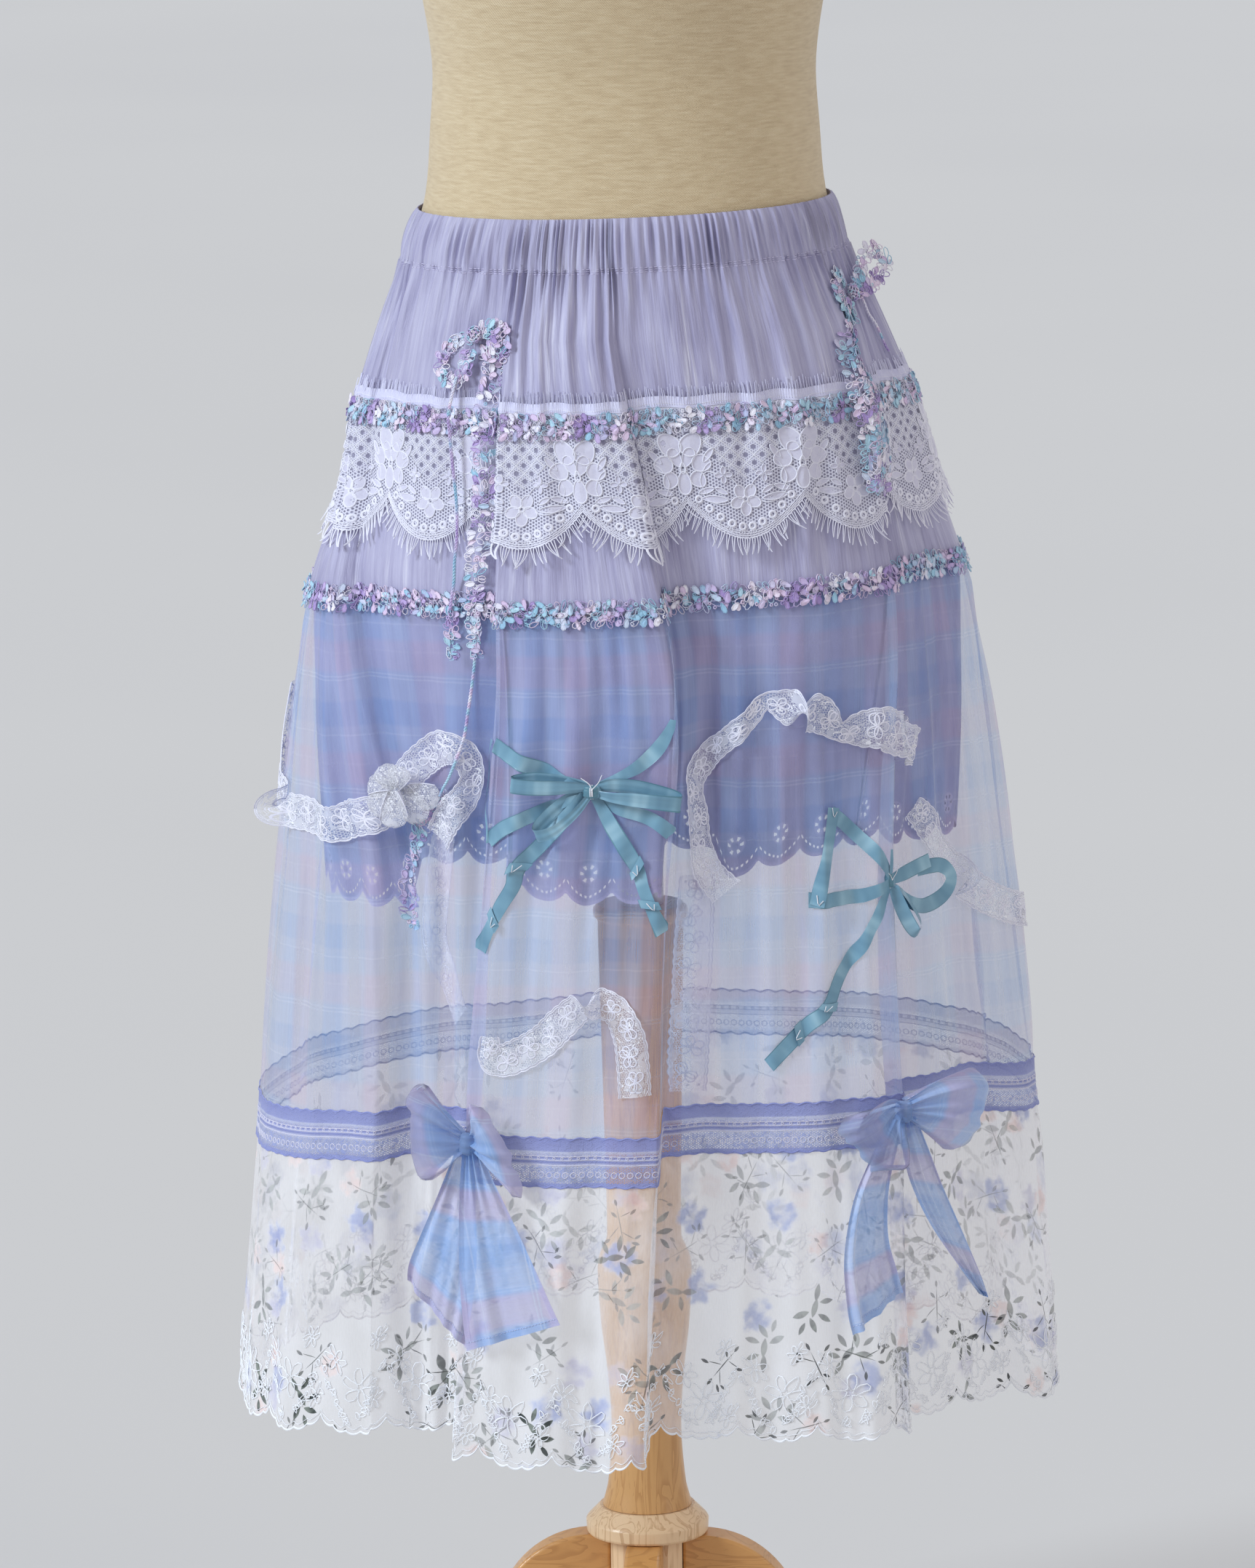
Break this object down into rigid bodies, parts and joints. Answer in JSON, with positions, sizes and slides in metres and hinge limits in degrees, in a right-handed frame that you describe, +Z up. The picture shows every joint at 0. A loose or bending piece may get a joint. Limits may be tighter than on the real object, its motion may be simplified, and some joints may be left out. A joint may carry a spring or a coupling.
{
  "type": "tiered lace skirt on a dress form",
  "caption": "Long gathered skirt in tiers of chiffon, lace, sheer check and floral print, with ribbon bows, worn on a limbless dress form with a turned wooden stand.",
  "frame": {"origin": "on the floor, at the centre of the part's outline, under the pole", "axes": "+Z up along the pole, -Y towards the front of the skirt, +X towards the viewer's right"},
  "size_m": [0.5461, 0.449, 1.5],
  "materials": {
    "chiffon": "lavender-grey crinkle chiffon with a soft shimmer",
    "lace": "pale lilac-white eyelet and net lace",
    "tatting": "tatted cotton in lilac, turquoise and pink",
    "organza": "sheer organza with a soft blue, lilac and pink check",
    "lining": "matt purple cotton with eyelet edge",
    "insertion": "periwinkle insertion lace",
    "print": "sheer white organza with a floral print and white embroidery",
    "satin": "teal satin ribbon",
    "linen": "beige linen over padding",
    "wood": "clear-varnished pine",
    "rod": "satin steel"
  },
  "bodies": {
    "root": {"dress_form": "linen", "hem_tier": "print", "insertion_band": "insertion", "lace_flounce": "lace", "lace_ribbon_far_right": "lace", "lace_ribbon_inner_left": "lace", "lace_ribbon_inner_middle": "lace", "lace_ribbon_left": "lace", "lace_ribbon_lower": "lace", "lace_ribbon_right": "lace", "lace_rosette": "lace", "leg_back": "wood", "leg_front": "wood", "leg_left": "wood", "leg_right": "wood", "lining": "lining", "organza_bow_left_knot": "organza", "organza_bow_left_loop_left": "organza", "organza_bow_left_loop_right": "organza", "organza_bow_left_tail_left": "organza", "organza_bow_left_tail_right": "organza", "organza_bow_right_knot": "organza", "organza_bow_right_loop_left": "organza", "organza_bow_right_loop_right": "organza", "organza_bow_right_tail_left": "organza", "organza_bow_right_tail_right": "organza", "satin_bow_centre_knot": "satin", "satin_bow_centre_loop_left": "satin", "satin_bow_centre_loop_right": "satin", "satin_bow_centre_lower_left": "satin", "satin_bow_centre_lower_right": "satin", "satin_bow_centre_tail_left": "satin", "satin_bow_centre_tail_right": "satin", "satin_bow_centre_upper_left": "satin", "satin_bow_centre_upper_right": "satin", "satin_bow_right_knot": "satin", "satin_bow_right_loop_left": "satin", "satin_bow_right_loop_lower": "satin", "satin_bow_right_loop_right": "satin", "satin_bow_right_tail": "satin", "sheer_tier": "organza", "stand_collar": "wood", "stand_column": "wood", "stand_hub": "wood", "stand_rod": "rod", "tatted_bow_left_cord": "tatting", "tatted_bow_left_knot": "tatting", "tatted_bow_left_loop_1": "tatting", "tatted_bow_left_loop_2": "tatting", "tatted_bow_left_tail": "tatting", "tatted_bow_right_knot": "tatting", "tatted_bow_right_loop_1": "tatting", "tatted_bow_right_loop_2": "tatting", "tatted_bow_right_tail": "tatting", "tatted_trim_1": "tatting", "tatted_trim_2": "tatting", "tier_1": "chiffon", "tier_2": "chiffon", "waistband": "chiffon"}
  },
  "joints": []
}
